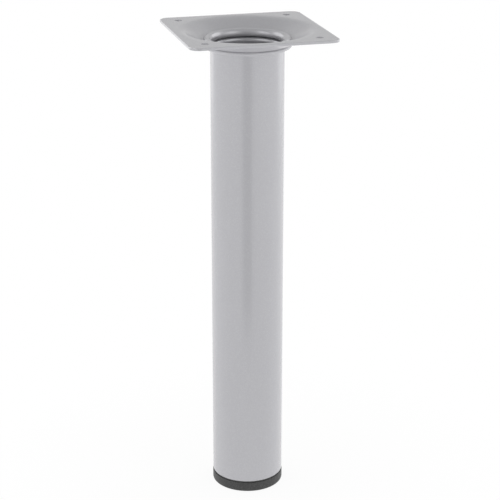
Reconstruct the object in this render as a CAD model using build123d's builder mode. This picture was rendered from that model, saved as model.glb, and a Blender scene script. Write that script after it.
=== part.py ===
"""Furniture leg: a round steel tube crimped to a dished square top plate, on a height-adjustable foot.

Frame: millimetres, +Z up, origin at the centre of the foot's floor face, plate edges along X and Y.
"""

from build123d import *
from math import atan2, cos, radians, tan
import os

# Leg tube
overall_height = 400.0
tube_diameter = 60.0
tube_wall = 1.2
tube_end_round = 0.4

# Top plate: a square sheet with a round, flat-bottomed dish pressed into it
plate_side = 120.0
plate_thickness = 2.0
plate_corner_radius = 8.0
plate_edge_round = 0.6
dish_margin = 7.8  # start of the dish's wall from the middle of each side, before it is rounded
dish_depth = 9.2
dish_bend_radius = 15.0  # rounding of the upper face where the dish starts
seat_bend_radius = 1.0  # rounding of the upper face round the dish's flat bottom
seat_margin = 0.3  # edge of the dish's flat bottom past the rolled tube end
screw_inset = 14.0  # screw hole centres from the plate's sides
screw_hole_diameter = 6.0

# Crimped joint: the dish's bottom is held between a folded bead under it and the rolled tube end over it
roll_overhang = 5.3  # reach of the rolled end past the tube's outside
roll_height = 3.0  # crest of the roll above the dish's bottom
roll_bend_share = 0.85  # part of the hollow under the roll that the bend from the tube takes
roll_edge_share = 0.12  # part of the hollow under the roll that the bend to its edge takes
roll_edge_round = 0.35
bead_overhang = 5.9  # reach of the folded bead past the tube's outside
bead_round_share = 0.48  # part of the bead's height that each rounding of its edge takes
fold_gap = 0.7  # slit left inside the fold
fold_bend_radius = 2.0  # bend of the tube into the bead, on the outside
neck_round = 1.0  # rounding of the plate's middle hole on top
neck_clearance = 0.2  # tube to the plate's middle hole, radial
crimp_clearance = 0.05  # plate to the roll and to the bead

# Foot disc
disc_diameter = 60.4
disc_height = 8.45
sole_round = 1.6
disc_top_round = 0.6
sole_recess_diameter = 34.0
sole_recess_depth = 1.0
head_floor = 1.6  # plastic under the stud's head
head_cover = 1.9  # plastic over the stud's head
mould_clearance = 0.02  # stud to the plastic moulded round it

# Foot stud and its nut
thread_diameter = 10.0
thread_clearance = 0.05  # stud to the nut's bore, radial
thread_spare = 3.0  # stud left above the nut with the foot screwed right out
adjust_travel = 20.0
stud_tip_chamfer = 1.0
hex_width = 17.0  # across the flats of the stud's head and of the nut
nut_height = 8.4
nut_recess = 0.5  # nut above the plug's lower face
nut_corner_drop = 0.8  # height of the turned corners at each end of the nut
nut_corner_cut = 1.3  # depth of the turned corners
nut_mouth_chamfer = 0.6

# Tube plug
plug_flange_thickness = 1.3
plug_flange_overlap = 0.6  # reach of the flange under the tube's wall
plug_clearance = 0.05  # plug to the tube's inside, radial
plug_lead_in = 1.0  # chamfer round the top of the skirt
skirt_height = 25.0
skirt_wall = 2.0
plug_floor = 3.0
boss_wall = 3.2  # plastic round the corners of the nut's pocket
boss_roof = 14.0  # plastic over the nut, which carries the load and guides the stud
rib_count = 8
rib_thickness = 2.0
rib_drop = 4.0  # ribs end this far below the top of the boss
pocket_clearance = 0.05  # nut to its pocket
passage_clearance = 0.4  # stud to the plug, radial

# Radii
tube_radius = tube_diameter / 2
bore_radius = tube_radius - tube_wall
hole_radius = tube_radius + neck_clearance
dish_radius = plate_side / 2 - dish_margin
roll_radius = tube_radius + roll_overhang
seat_radius = roll_radius + seat_margin
bead_radius = tube_radius + bead_overhang
disc_radius = disc_diameter / 2
thread_radius = thread_diameter / 2
hex_corner_radius = hex_width / 2 / cos(radians(30))
boss_radius = hex_corner_radius + boss_wall
plug_radius = bore_radius - plug_clearance
skirt_bore_radius = plug_radius - skirt_wall

# Heights of the foot and of what is in the tube's lower end
head_base = sole_recess_depth + head_floor
head_top = disc_height - head_cover
plug_base = disc_height
tube_base = plug_base + plug_flange_thickness
nut_base = plug_base + nut_recess
nut_top = nut_base + nut_height
boss_top = nut_top + boss_roof
skirt_top = tube_base + skirt_height
stud_top = nut_top + adjust_travel + thread_spare

# Slope of the dish, and heights of the crimped joint
dish_angle = atan2(dish_depth, dish_radius - seat_radius)
seat_upper = overall_height - dish_depth
seat_lower = seat_upper - plate_thickness
roll_top = seat_upper + roll_height
roll_base = seat_upper + crimp_clearance
bead_top = seat_lower - crimp_clearance
slit_top = bead_top - tube_wall
slit_base = slit_top - fold_gap
bead_base = slit_base - tube_wall


def rounded_outline(*corners):
    """Closed outline through (radius, height, rounding) corners."""
    FilletPolyline(
        *[(radius, height) for radius, height, rounding in corners],
        radius=[rounding for radius, height, rounding in corners],
        close=True,
    )


os.makedirs("parts", exist_ok=True)

# Top plate: the turned section of the dish, trimmed to a square with rounded corners
plate_reach = plate_side
plate_underside = overall_height - plate_thickness
bend_shift = plate_thickness * tan(dish_angle / 2)
with BuildPart() as top_plate:
    with BuildSketch(Plane.XZ):
        with BuildLine():
            rounded_outline(
                (hole_radius, seat_upper, neck_round),
                (seat_radius, seat_upper, seat_bend_radius),
                (dish_radius, overall_height, dish_bend_radius),
                (plate_reach, overall_height, 0),
                (plate_reach, plate_underside, 0),
                (dish_radius + bend_shift, plate_underside, dish_bend_radius - plate_thickness),
                (seat_radius + bend_shift, seat_lower, seat_bend_radius + plate_thickness),
                (hole_radius, seat_lower, 0),
            )
        make_face()
    revolve(axis=Axis.Z)
    with BuildSketch():
        RectangleRounded(plate_side, plate_side, plate_corner_radius)
    extrude(amount=overall_height, mode=Mode.INTERSECT)
    upper_face = top_plate.faces().filter_by(Plane.XY).sort_by(Axis.Z)[-1]
    fillet(upper_face.outer_wire().edges(), plate_edge_round)
    screw_spacing = plate_side - 2 * screw_inset
    with Locations((0, 0, overall_height)):
        with GridLocations(screw_spacing, screw_spacing, 2, 2):
            Hole(screw_hole_diameter / 2, plate_thickness)

# Leg tube: one wall that folds out into the bead, passes the plate and rolls over onto the dish's bottom
bead_round = bead_round_share * (bead_top - bead_base)
slit_radius = bead_radius - tube_wall
roll_inner_radius = roll_radius - tube_wall
roll_bend_radius = roll_bend_share * (roll_inner_radius - tube_radius)
roll_edge_radius = roll_edge_share * (roll_inner_radius - tube_radius)
with BuildPart() as leg_tube:
    with BuildSketch(Plane.XZ):
        with BuildLine():
            rounded_outline(
                (tube_radius, tube_base, tube_end_round),
                (tube_radius, bead_base, fold_bend_radius),
                (bead_radius, bead_base, bead_round),
                (bead_radius, bead_top, bead_round),
                (tube_radius, bead_top, 0),
                (tube_radius, roll_top - tube_wall, roll_bend_radius),
                (roll_inner_radius, roll_top - tube_wall, roll_edge_radius),
                (roll_inner_radius, roll_base, roll_edge_round),
                (roll_radius, roll_base, roll_edge_round),
                (roll_radius, roll_top, roll_edge_radius + tube_wall),
                (bore_radius, roll_top, roll_bend_radius + tube_wall),
                (bore_radius, slit_top, tube_wall),
                (slit_radius, slit_top, 0),
                (slit_radius, slit_base, 0),
                (bore_radius, slit_base, fold_bend_radius + tube_wall),
                (bore_radius, tube_base, 0),
            )
        make_face()
    revolve(axis=Axis.Z)

# Tube plug: a moulded cup with a flange under the tube's end, a boss for the nut and ribs
with BuildPart() as tube_plug:
    with BuildSketch(Plane.XZ):
        with BuildLine():
            Polyline(
                (0, plug_base),
                (bore_radius + plug_flange_overlap, plug_base),
                (bore_radius + plug_flange_overlap, tube_base),
                (plug_radius, tube_base),
                (plug_radius, skirt_top - plug_lead_in),
                (plug_radius - plug_lead_in, skirt_top),
                (skirt_bore_radius, skirt_top),
                (skirt_bore_radius, plug_base + plug_floor),
                (boss_radius, plug_base + plug_floor),
                (boss_radius, boss_top),
                (0, boss_top),
                close=True,
            )
        make_face()
    revolve(axis=Axis.Z)
    rib_length = (plug_radius + skirt_bore_radius) / 2
    with BuildSketch(Plane.XY.offset(plug_base + plug_floor)):
        with PolarLocations(0, rib_count):
            Rectangle(rib_length, rib_thickness, align=(Align.MIN, Align.CENTER))
    extrude(amount=boss_top - rib_drop - plug_base - plug_floor)
    with BuildSketch(Plane.XY.offset(plug_base)):
        RegularPolygon(hex_width / 2 + pocket_clearance, 6, major_radius=False)
    extrude(amount=nut_recess + nut_height, mode=Mode.SUBTRACT)
    Hole(thread_radius + passage_clearance)

# Captive nut: a hexagon with a turned section, pressed into the plug from below
nut_bore_radius = thread_radius + thread_clearance
with BuildPart() as captive_nut:
    with BuildSketch(Plane.XY.offset(nut_base)):
        RegularPolygon(hex_width / 2, 6, major_radius=False)
    extrude(amount=nut_height)
    with BuildSketch(Plane.XZ):
        with BuildLine():
            Polyline(
                (nut_bore_radius + nut_mouth_chamfer, nut_base),
                (hex_corner_radius - nut_corner_cut, nut_base),
                (hex_corner_radius, nut_base + nut_corner_drop),
                (hex_corner_radius, nut_top - nut_corner_drop),
                (hex_corner_radius - nut_corner_cut, nut_top),
                (nut_bore_radius + nut_mouth_chamfer, nut_top),
                (nut_bore_radius, nut_top - nut_mouth_chamfer),
                (nut_bore_radius, nut_base + nut_mouth_chamfer),
                close=True,
            )
        make_face()
    revolve(axis=Axis.Z, mode=Mode.INTERSECT)

# Foot stud: a screw whose hexagon head is moulded into the disc
with BuildPart() as foot_stud:
    with BuildSketch(Plane.XY.offset(head_base)):
        RegularPolygon(hex_width / 2, 6, major_radius=False)
    extrude(amount=head_top - head_base)
    with BuildSketch(Plane.XY.offset(head_top)):
        Circle(thread_radius)
    extrude(amount=stud_top - head_top)
    chamfer(foot_stud.edges().sort_by(Axis.Z)[-1], stud_tip_chamfer)

# Foot disc: a moulded puck with a recessed middle, closed round the head of the stud
with BuildPart() as foot_disc:
    sole_recess_radius = sole_recess_diameter / 2
    with BuildSketch(Plane.XZ):
        with BuildLine():
            rounded_outline(
                (0, sole_recess_depth, 0),
                (sole_recess_radius, sole_recess_depth, 0),
                (sole_recess_radius, 0, 0),
                (disc_radius, 0, sole_round),
                (disc_radius, disc_height, disc_top_round),
                (0, disc_height, 0),
            )
        make_face()
    revolve(axis=Axis.Z)
    with BuildSketch(Plane.XY.offset(head_base - mould_clearance)):
        RegularPolygon(hex_width / 2 + mould_clearance, 6, major_radius=False)
    extrude(amount=head_top - head_base + 2 * mould_clearance, mode=Mode.SUBTRACT)
    with BuildSketch(Plane.XY.offset(head_top)):
        Circle(thread_radius + mould_clearance)
    extrude(amount=head_cover, mode=Mode.SUBTRACT)

pieces = {
    "top_plate": top_plate,
    "leg_tube": leg_tube,
    "tube_plug": tube_plug,
    "captive_nut": captive_nut,
    "foot_stud": foot_stud,
    "foot_disc": foot_disc,
}
for name, piece in pieces.items():
    piece.part.label = name
    export_step(piece.part, f"parts/{name}.step")
    print(name, round(piece.part.volume), "mm3")
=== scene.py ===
import math
import bpy
from mathutils import Euler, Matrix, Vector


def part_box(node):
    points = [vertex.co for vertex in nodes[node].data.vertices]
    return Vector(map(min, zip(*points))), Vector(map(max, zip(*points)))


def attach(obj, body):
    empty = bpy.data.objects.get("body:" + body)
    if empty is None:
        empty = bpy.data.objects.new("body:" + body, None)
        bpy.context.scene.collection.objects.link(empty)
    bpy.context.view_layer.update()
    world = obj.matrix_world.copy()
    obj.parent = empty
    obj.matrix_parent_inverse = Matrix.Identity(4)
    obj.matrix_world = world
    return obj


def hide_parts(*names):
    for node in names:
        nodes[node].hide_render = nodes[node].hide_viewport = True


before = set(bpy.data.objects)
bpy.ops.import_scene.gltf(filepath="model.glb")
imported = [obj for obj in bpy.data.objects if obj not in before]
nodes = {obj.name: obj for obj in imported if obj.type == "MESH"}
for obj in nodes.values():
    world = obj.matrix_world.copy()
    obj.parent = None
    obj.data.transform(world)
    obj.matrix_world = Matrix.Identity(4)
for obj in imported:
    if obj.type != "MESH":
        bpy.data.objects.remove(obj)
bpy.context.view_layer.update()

scene = bpy.context.scene
scene.view_settings.view_transform = "Standard"
print("frame loaded:", ", ".join(sorted(nodes)))


# small helpers for node trees
def addNode(tree, kind, values=None, **settings):
    node = tree.nodes.new(kind)
    for name, value in settings.items():
        setattr(node, name, value)
    for socket, value in (values or {}).items():
        node.inputs[socket].default_value = value
    return node


def join(tree, source, target):
    tree.links.new(source, target)


def newGroup(name, treeKind, inputs, outputs):
    group = bpy.data.node_groups.new(name, treeKind)
    for label, kind, value in inputs:
        socket = group.interface.new_socket(label, in_out="INPUT", socket_type=kind)
        if value is not None:
            socket.default_value = value
    for label, kind in outputs:
        group.interface.new_socket(label, in_out="OUTPUT", socket_type=kind)
    return group, addNode(group, "NodeGroupInput"), addNode(group, "NodeGroupOutput")


def useGroup(tree, group, values):
    node = addNode(tree, "ShaderNodeGroup", node_tree=group)
    for socket, value in values.items():
        node.inputs[socket].default_value = value
    return node


# shared effect: fine relief of a coat, a moulding or a plating, with a speck mask
def makeFineRelief():
    group, start, end = newGroup(
        "fineRelief", "ShaderNodeTree",
        [("Place", "NodeSocketVector", None), ("Waves Per Metre", "NodeSocketFloat", 400.0),
         ("Specks Per Metre", "NodeSocketFloat", 3000.0), ("Speck Share", "NodeSocketFloat", 0.3)],
        [("Height", "NodeSocketFloat"), ("Speck", "NodeSocketFloat")],
    )
    waves = addNode(group, "ShaderNodeTexNoise", {"Detail": 2.0, "Roughness": 0.45})
    cells = addNode(group, "ShaderNodeTexVoronoi", feature="F1")
    split = addNode(group, "ShaderNodeSeparateColor")
    blend = addNode(group, "ShaderNodeMix", data_type="FLOAT")
    join(group, start.outputs["Place"], waves.inputs["Vector"])
    join(group, start.outputs["Waves Per Metre"], waves.inputs["Scale"])
    join(group, start.outputs["Place"], cells.inputs["Vector"])
    join(group, start.outputs["Specks Per Metre"], cells.inputs["Scale"])
    join(group, cells.outputs["Color"], split.inputs["Color"])
    join(group, start.outputs["Speck Share"], blend.inputs["Factor"])
    join(group, waves.outputs["Fac"], blend.inputs["A"])
    join(group, split.outputs["Red"], blend.inputs["B"])
    join(group, blend.outputs["Result"], end.inputs["Height"])
    join(group, split.outputs["Green"], end.inputs["Speck"])
    return group


# shared effect: cloudy change of tone and gloss over a hand's width
def makeCloudiness():
    group, start, end = newGroup(
        "cloudiness", "ShaderNodeTree",
        [("Place", "NodeSocketVector", None), ("Clouds Per Metre", "NodeSocketFloat", 18.0),
         ("Tone Spread", "NodeSocketFloat", 0.03), ("Gloss Mid", "NodeSocketFloat", 0.4),
         ("Gloss Spread", "NodeSocketFloat", 0.05)],
        [("Tone", "NodeSocketFloat"), ("Gloss", "NodeSocketFloat")],
    )
    clouds = addNode(group, "ShaderNodeTexNoise", {"Detail": 4.0, "Roughness": 0.6})
    centred = addNode(group, "ShaderNodeMath", {1: 0.5}, operation="SUBTRACT")
    tone = addNode(group, "ShaderNodeMath", {2: 1.0}, operation="MULTIPLY_ADD")
    gloss = addNode(group, "ShaderNodeMath", operation="MULTIPLY_ADD")
    join(group, start.outputs["Place"], clouds.inputs["Vector"])
    join(group, start.outputs["Clouds Per Metre"], clouds.inputs["Scale"])
    join(group, clouds.outputs["Fac"], centred.inputs[0])
    join(group, centred.outputs["Value"], tone.inputs[0])
    join(group, start.outputs["Tone Spread"], tone.inputs[1])
    join(group, centred.outputs["Value"], gloss.inputs[0])
    join(group, start.outputs["Gloss Spread"], gloss.inputs[1])
    join(group, start.outputs["Gloss Mid"], gloss.inputs[2])
    join(group, tone.outputs["Value"], end.inputs["Tone"])
    join(group, gloss.outputs["Value"], end.inputs["Gloss"])
    return group


fineRelief = makeFineRelief()
cloudiness = makeCloudiness()
print("shared effects ready")


# a finish is one Principled shader fed by the two shared effects
def makeFinish(name, look):
    material = bpy.data.materials.new(name)
    material.use_nodes = True
    tree = material.node_tree
    shader = tree.nodes["Principled BSDF"]
    place = addNode(tree, "ShaderNodeTexCoord")
    relief = useGroup(tree, fineRelief, look["relief"])
    clouds = useGroup(tree, cloudiness, look["clouds"])
    flecks = addNode(tree, "ShaderNodeMix", data_type="RGBA")
    flecks.inputs["A"].default_value = (*look["colour"], 1.0)
    flecks.inputs["B"].default_value = (*look["fleckColour"], 1.0)
    fleckCurve = addNode(tree, "ShaderNodeMath", {1: look["fleckPower"]}, operation="POWER")
    toned = addNode(tree, "ShaderNodeVectorMath", operation="SCALE")
    bump = addNode(tree, "ShaderNodeBump", {"Strength": look["bumpStrength"], "Distance": look["bumpDepth"]})
    join(tree, place.outputs["Object"], relief.inputs["Place"])
    join(tree, place.outputs["Object"], clouds.inputs["Place"])
    join(tree, relief.outputs["Speck"], fleckCurve.inputs[0])
    join(tree, fleckCurve.outputs["Value"], flecks.inputs["Factor"])
    join(tree, flecks.outputs["Result"], toned.inputs["Vector"])
    join(tree, clouds.outputs["Tone"], toned.inputs["Scale"])
    join(tree, toned.outputs["Vector"], shader.inputs["Base Color"])
    join(tree, clouds.outputs["Gloss"], shader.inputs["Roughness"])
    join(tree, relief.outputs["Height"], bump.inputs["Height"])
    join(tree, bump.outputs["Normal"], shader.inputs["Normal"])
    for socket, value in look["shader"].items():
        shader.inputs[socket].default_value = value
    return material


silverCoatLook = {  # satin powder coat with fine bright flecks
    "colour": (0.447, 0.445, 0.467),
    "fleckColour": (0.525, 0.525, 0.545),
    "fleckPower": 5.0,
    "relief": {"Waves Per Metre": 420.0, "Specks Per Metre": 3200.0, "Speck Share": 0.12},
    "clouds": {"Clouds Per Metre": 14.0, "Tone Spread": 0.03, "Gloss Mid": 0.22, "Gloss Spread": 0.05},
    "bumpStrength": 0.25,
    "bumpDepth": 0.00004,
    "shader": {"Metallic": 0.2, "IOR": 1.5},
}
blackPlasticLook = {  # matt moulded plastic
    "colour": (0.028, 0.028, 0.0285),
    "fleckColour": (0.06, 0.06, 0.06),
    "fleckPower": 3.0,
    "relief": {"Waves Per Metre": 900.0, "Specks Per Metre": 1600.0, "Speck Share": 0.6},
    "clouds": {"Clouds Per Metre": 40.0, "Tone Spread": 0.15, "Gloss Mid": 0.5, "Gloss Spread": 0.12},
    "bumpStrength": 0.6,
    "bumpDepth": 0.0001,
    "shader": {"IOR": 1.5},
}
zincPlateLook = {  # bright zinc on steel
    "colour": (0.62, 0.63, 0.64),
    "fleckColour": (0.72, 0.71, 0.66),
    "fleckPower": 2.0,
    "relief": {"Waves Per Metre": 700.0, "Specks Per Metre": 2400.0, "Speck Share": 0.3},
    "clouds": {"Clouds Per Metre": 60.0, "Tone Spread": 0.1, "Gloss Mid": 0.3, "Gloss Spread": 0.12},
    "bumpStrength": 0.3,
    "bumpDepth": 0.00005,
    "shader": {"Metallic": 1.0},
}
silverCoat = makeFinish("silverCoat", silverCoatLook)
blackPlastic = makeFinish("blackPlastic", blackPlasticLook)
zincPlate = makeFinish("zincPlate", zincPlateLook)

finishOf = {
    "top_plate": silverCoat, "leg_tube": silverCoat,
    "tube_plug": blackPlastic, "foot_disc": blackPlastic,
    "captive_nut": zincPlate, "foot_stud": zincPlate,
}
for name, finish in finishOf.items():
    slots = nodes[name].data.materials
    slots.clear()
    slots.append(finish)
print("finishes set on", len(finishOf), "pieces")


# the foot's screw: hexagon head, core with a bevelled tip, and a thread that follows a helix
studLow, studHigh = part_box("foot_stud")
studSetup = {  # the inputs of its node tree
    "Base": studLow[2], "Top": studHigh[2],
    "Head Height": 0.00395, "Head Radius": 0.017 / math.sqrt(3.0),  # 17 mm across the flats
    "Core Radius": 0.0042, "Crest Radius": 0.00498, "Tip Radius": 0.0036, "Tip Length": 0.001,
    "Pitch": 0.0015, "Flank Share": 0.48,  # how much of the pitch a ridge takes up
    "Steps": 40,  # round the core, and along each turn of the thread
}
studSharpAngle = math.radians(35.0)  # an edge that turns more than this stays sharp


def makeStudTree(setup):
    inputs = [(label, "NodeSocketInt" if label == "Steps" else "NodeSocketFloat", None) for label in setup]
    inputs.append(("Finish", "NodeSocketMaterial", None))
    outputs = [("Geometry", "NodeSocketGeometry")]
    tree, start, end = newGroup("threadedStud", "GeometryNodeTree", inputs, outputs)
    size = start.outputs

    def calc(operation, first, second):
        node = addNode(tree, "ShaderNodeMath", operation=operation)
        for index, value in enumerate((first, second)):
            if isinstance(value, float):
                node.inputs[index].default_value = value
            else:
                join(tree, value, node.inputs[index])
        return node.outputs["Value"]

    def shape(kind, sources, values=None, **settings):
        node = addNode(tree, kind, values, **settings)
        for label, source in sources.items():
            join(tree, source, node.inputs[label])
        return node.outputs[0]

    def lift(geometry, height):
        shift = shape("ShaderNodeCombineXYZ", {"Z": height})
        return shape("GeometryNodeTransform", {"Geometry": geometry, "Translation": shift})

    headTop = calc("ADD", size["Base"], size["Head Height"])
    headMiddle = calc("ADD", size["Base"], calc("MULTIPLY", size["Head Height"], 0.5))
    tipBase = calc("SUBTRACT", size["Top"], size["Tip Length"])
    run = calc("SUBTRACT", tipBase, headTop)
    coreMiddle = calc("ADD", headTop, calc("MULTIPLY", run, 0.5))
    head = shape(
        "GeometryNodeMeshCylinder",
        {"Radius": size["Head Radius"], "Depth": size["Head Height"]},
        {"Vertices": 6},
    )
    core = shape(
        "GeometryNodeMeshCylinder",
        {"Vertices": size["Steps"], "Radius": size["Core Radius"], "Depth": run},
    )
    tip = shape(
        "GeometryNodeMeshCone",
        {"Vertices": size["Steps"], "Radius Bottom": size["Core Radius"], "Radius Top": size["Tip Radius"],
         "Depth": size["Tip Length"]},
    )
    helix = shape(
        "GeometryNodeCurveSpiral",
        {"Resolution": size["Steps"], "Rotations": calc("DIVIDE", run, size["Pitch"]), "Height": run,
         "Start Radius": size["Core Radius"], "End Radius": size["Core Radius"]},
    )
    upright = shape("GeometryNodeSetCurveNormal", {"Curve": helix}, mode="Z_UP")
    rise = calc("SUBTRACT", size["Crest Radius"], size["Core Radius"])
    flank = calc("MULTIPLY", size["Pitch"], size["Flank Share"])
    ridge = shape(  # the inner half of the kite lies in the core
        "GeometryNodeCurvePrimitiveQuadrilateral",
        {"Width": calc("MULTIPLY", rise, 2.0), "Bottom Height": flank, "Top Height": flank},
        mode="KITE",
    )
    sweep = {"Curve": upright, "Profile Curve": ridge}
    thread = shape("GeometryNodeCurveToMesh", sweep, {"Fill Caps": True})
    whole = addNode(tree, "GeometryNodeJoinGeometry")
    for geometry, height in ((head, headMiddle), (core, coreMiddle), (tip, tipBase), (thread, headTop)):
        join(tree, lift(geometry, height), whole.inputs["Geometry"])
    plain = shape("GeometryNodeRealizeInstances", {"Geometry": whole.outputs["Geometry"]})
    finished = shape("GeometryNodeSetMaterial", {"Geometry": plain, "Material": size["Finish"]})
    join(tree, finished, end.inputs["Geometry"])
    return tree


def makeStud(setup, finish):
    tree = makeStudTree(setup)
    stud = bpy.data.objects.new("threadedStud", bpy.data.meshes.new("threadedStud"))
    scene.collection.objects.link(stud)
    modifier = stud.modifiers.new("threadedStud", "NODES")
    modifier.node_group = tree
    values = {**setup, "Finish": finish}
    for socket in tree.interface.items_tree:
        if socket.in_out == "INPUT":
            modifier[socket.identifier] = values[socket.name]
    evaluated = stud.evaluated_get(bpy.context.evaluated_depsgraph_get())
    mesh = bpy.data.meshes.new_from_object(evaluated)
    stud.modifiers.remove(modifier)
    stud.data = mesh
    mesh.materials.clear()  # the tree leaves an empty slot before the finish
    mesh.materials.append(finish)
    mesh.polygons.foreach_set("material_index", [0] * len(mesh.polygons))
    mesh.polygons.foreach_set("use_smooth", [True] * len(mesh.polygons))
    mesh.set_sharp_from_angle(angle=studSharpAngle)
    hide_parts("foot_stud")
    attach(stud, "foot")
    return stud


stud = makeStud(studSetup, zincPlate)
print("stud made,", len(stud.data.polygons), "faces")


# camera, fitted to the photograph's frame of 500 by 500
cameraSetup = {
    "distance": 1.23304, "height": 0.660, "azimuth": -15.067, "pitch": 19.964,
    "lens": 112.537, "sensor": 36.0, "shift": 0.00525,
}


def makeCamera(setup):
    data = bpy.data.cameras.new("photoCamera")
    data.sensor_width = setup["sensor"]
    data.lens = setup["lens"]
    data.shift_x = setup["shift"]
    camera = bpy.data.objects.new("photoCamera", data)
    turn, reach = math.radians(setup["azimuth"]), setup["distance"]
    camera.location = (reach * math.sin(turn), -reach * math.cos(turn), setup["height"])
    camera.rotation_euler = Euler((math.radians(90.0 - setup["pitch"]), 0.0, turn))
    scene.collection.objects.link(camera)
    scene.camera = camera
    return camera


camera = makeCamera(cameraSetup)
print("camera at", [round(value, 3) for value in camera.location])


# white floor and surroundings; a strength of 1 is white
stageSetup = {
    "floorSize": 6.0, "floorColour": (0.95, 0.95, 0.95, 1.0),
    "shadowShare": 0.08, "shadowReach": 0.25,  # how strong the shadow is at the foot, and how far it goes
    "ambient": 0.49,  # how strongly the white room lights matt surfaces
}


def makeSheet(name, width, low, high):
    half = width / 2
    corners = [(-half, low, 0), (half, low, 0), (half, high, 0), (-half, high, 0)]
    mesh = bpy.data.meshes.new(name)
    mesh.from_pydata(corners, [], [(0, 1, 2, 3)])
    sheet = bpy.data.objects.new(name, mesh)
    scene.collection.objects.link(sheet)
    return sheet


def emptyMaterial(name):
    material = bpy.data.materials.new(name)
    material.use_nodes = True
    tree = material.node_tree
    tree.nodes.remove(tree.nodes["Principled BSDF"])
    return material, tree, tree.nodes["Material Output"].inputs["Surface"]


def makeFloor(setup):
    half = setup["floorSize"] / 2
    floor = makeSheet("studioFloor", setup["floorSize"], -half, half)
    material, tree, surface = emptyMaterial("paleFloor")
    matt = addNode(tree, "ShaderNodeBsdfDiffuse", {"Color": setup["floorColour"]})  # takes the shadow
    glow = addNode(tree, "ShaderNodeEmission", {"Strength": 1.0})
    path = addNode(tree, "ShaderNodeLightPath")
    place = addNode(tree, "ShaderNodeTexCoord")
    away = addNode(tree, "ShaderNodeVectorMath", operation="LENGTH")
    fadeRange = {"From Max": setup["shadowReach"], "To Min": setup["shadowShare"], "To Max": 0.0}
    fade = addNode(tree, "ShaderNodeMapRange", fadeRange)
    share = addNode(tree, "ShaderNodeMath", operation="MULTIPLY")
    blend = addNode(tree, "ShaderNodeMixShader")
    join(tree, place.outputs["Object"], away.inputs[0])
    join(tree, away.outputs["Value"], fade.inputs["Value"])
    join(tree, fade.outputs["Result"], share.inputs[0])
    join(tree, path.outputs["Is Camera Ray"], share.inputs[1])
    join(tree, share.outputs["Value"], blend.inputs["Fac"])
    join(tree, glow.outputs["Emission"], blend.inputs[1])
    join(tree, matt.outputs["BSDF"], blend.inputs[2])
    join(tree, blend.outputs["Shader"], surface)
    floor.data.materials.append(material)


def makeWorld(setup):
    world = bpy.data.worlds.new("whiteStudio")
    scene.world = world
    world.use_nodes = True
    tree = world.node_tree
    tree.nodes.clear()
    ambient = setup["ambient"]
    path = addNode(tree, "ShaderNodeLightPath")
    mirrored = addNode(tree, "ShaderNodeMath", operation="MAXIMUM")
    seen = addNode(tree, "ShaderNodeMath", operation="MAXIMUM")
    level = addNode(tree, "ShaderNodeMath", {1: 1.0 - ambient, 2: ambient}, operation="MULTIPLY_ADD")
    room = addNode(tree, "ShaderNodeBackground", {"Color": (1.0, 1.0, 1.0, 1.0)})
    output = addNode(tree, "ShaderNodeOutputWorld")
    join(tree, path.outputs["Is Glossy Ray"], mirrored.inputs[0])
    join(tree, path.outputs["Is Transmission Ray"], mirrored.inputs[1])
    join(tree, path.outputs["Is Camera Ray"], seen.inputs[0])
    join(tree, mirrored.outputs["Value"], seen.inputs[1])
    join(tree, seen.outputs["Value"], level.inputs[0])
    join(tree, level.outputs["Value"], room.inputs["Strength"])
    join(tree, room.outputs["Background"], output.inputs["Surface"])


# four soft boxes round the object; reflections see the white room and the cards below instead
allSoftBoxes = {"elevation": 0.0, "distance": 1.3, "height": 0.2, "width": 1.2, "tall": 1.2}
softBoxes = {
    "frontLeft": {"azimuth": -75.0, "power": 7.9},
    "frontRight": {"azimuth": 45.0, "power": 7.9},
    "rearLeft": {"azimuth": -145.0, "power": 10.0},
    "rearRight": {"azimuth": 115.0, "power": 12.5},
}

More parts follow.
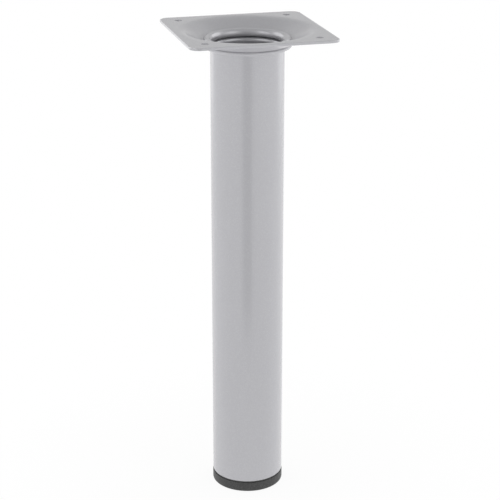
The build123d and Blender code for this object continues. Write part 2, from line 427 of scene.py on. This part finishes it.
# cards that only reflections see; a card's height is that of its lower edge
allCards = {"elevation": 0.0, "distance": 1.3}  # unless a card says otherwise
glint = {"elevation": 22.0, "height": 0.4, "width": 0.9, "tall": 0.9}
cards = {
    # the darker strip down the tube
    "darkCard": {
        "azimuth": -15.0, "distance": 0.4, "height": 0.002, "width": 0.2, "tall": 0.8, "tone": 0.49,
    },
    # a slightly darker plate
    "backCard": {"azimuth": 165.0, "height": 0.45, "width": 1.2, "tall": 0.6, "tone": 0.9},
    # light on the inside of the rolled edge
    "leftGlint": {**glint, "azimuth": -75.0, "tone": 2.6},
    "rightGlint": {**glint, "azimuth": 45.0, "tone": 2.45},
    # bright edges near the tube's top
    "rearLeftLow": {"azimuth": -153.0, "height": 0.01, "width": 0.5, "tall": 0.5, "tone": 1.4},
    "rearRightLow": {"azimuth": 107.0, "height": 0.01, "width": 0.7, "tall": 0.5, "tone": 1.45},
    # highlights on the rolled edge
    "rearLeftHigh": {"azimuth": -140.0, "height": 0.7, "width": 1.2, "tall": 1.0, "tone": 2.6},
    "rearRightHigh": {"azimuth": 110.0, "height": 0.7, "width": 1.2, "tall": 1.0, "tone": 2.7},
}


def placeAround(thing, setup):
    turn, rise = math.radians(setup["azimuth"]), math.radians(setup["elevation"])
    reach = setup["distance"] * math.cos(rise)
    height = setup["height"] + setup["distance"] * math.sin(rise)
    thing.location = (reach * math.sin(turn), -reach * math.cos(turn), height)
    thing.rotation_euler = Euler((math.radians(90.0) - rise, 0.0, turn))


def makeSoftBox(name, setup):
    data = bpy.data.lights.new(name, "AREA")
    data.shape = "RECTANGLE"
    data.size = setup["width"]
    data.size_y = setup["tall"]
    data.energy = setup["power"]
    lamp = bpy.data.objects.new(name, data)
    placeAround(lamp, setup)
    lamp.visible_glossy = False
    scene.collection.objects.link(lamp)


def makeCard(name, setup):
    card = makeSheet(name, setup["width"], 0, setup["tall"])
    placeAround(card, setup)
    material, tree, surface = emptyMaterial(name)
    glow = addNode(tree, "ShaderNodeEmission", {"Strength": setup["tone"]})
    join(tree, glow.outputs["Emission"], surface)
    card.data.materials.append(material)
    for ray in ("camera", "diffuse", "transmission", "volume_scatter", "shadow"):
        setattr(card, "visible_" + ray, False)


makeFloor(stageSetup)
makeWorld(stageSetup)
for name, setup in softBoxes.items():
    makeSoftBox(name, {**allSoftBoxes, **setup})
for name, setup in cards.items():
    makeCard(name, {**allCards, **setup})
print("stage ready:", len(softBoxes), "soft boxes,", len(cards), "cards")
